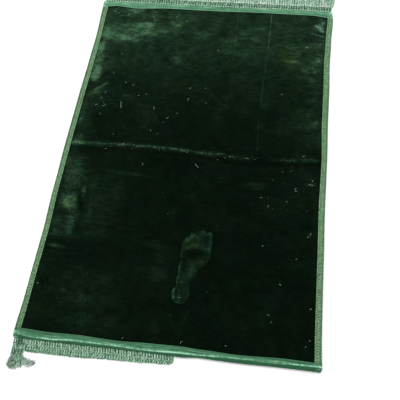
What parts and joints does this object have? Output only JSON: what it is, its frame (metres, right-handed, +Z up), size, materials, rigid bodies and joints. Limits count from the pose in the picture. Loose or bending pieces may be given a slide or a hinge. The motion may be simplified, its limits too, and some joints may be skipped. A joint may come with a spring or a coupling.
{
  "type": "prayer rug",
  "caption": "Flat velvet pile prayer rug with taped edges and a yarn fringe on both short ends, the near fringe mostly folded under.",
  "frame": {"origin": "on the rug's underside, at the middle of the cloth, level with the floor", "axes": "+Y along the rug's length, towards the end whose fringe lies open; +Z up, out of the pile; +X to the right when looking along +Y"},
  "size_m": [0.8067, 1.3713, 0.0082],
  "materials": {
    "velvet_pile": "short velvet pile, dark green, brushed lighter in places",
    "side_tape": "matt woven edging tape, yellowish green",
    "satin_tape": "satin end tape, bluish green, streaked along its length",
    "fringe_yarn": "soft twisted yarn, pale green"
  },
  "bodies": {
    "root": {"velvet_cloth": "velvet_pile", "side_tape_left": "side_tape", "side_tape_right": "side_tape", "end_tape_near": "satin_tape", "end_tape_far": "satin_tape", "fringe_near": "fringe_yarn", "fringe_far": "fringe_yarn"}
  },
  "joints": []
}
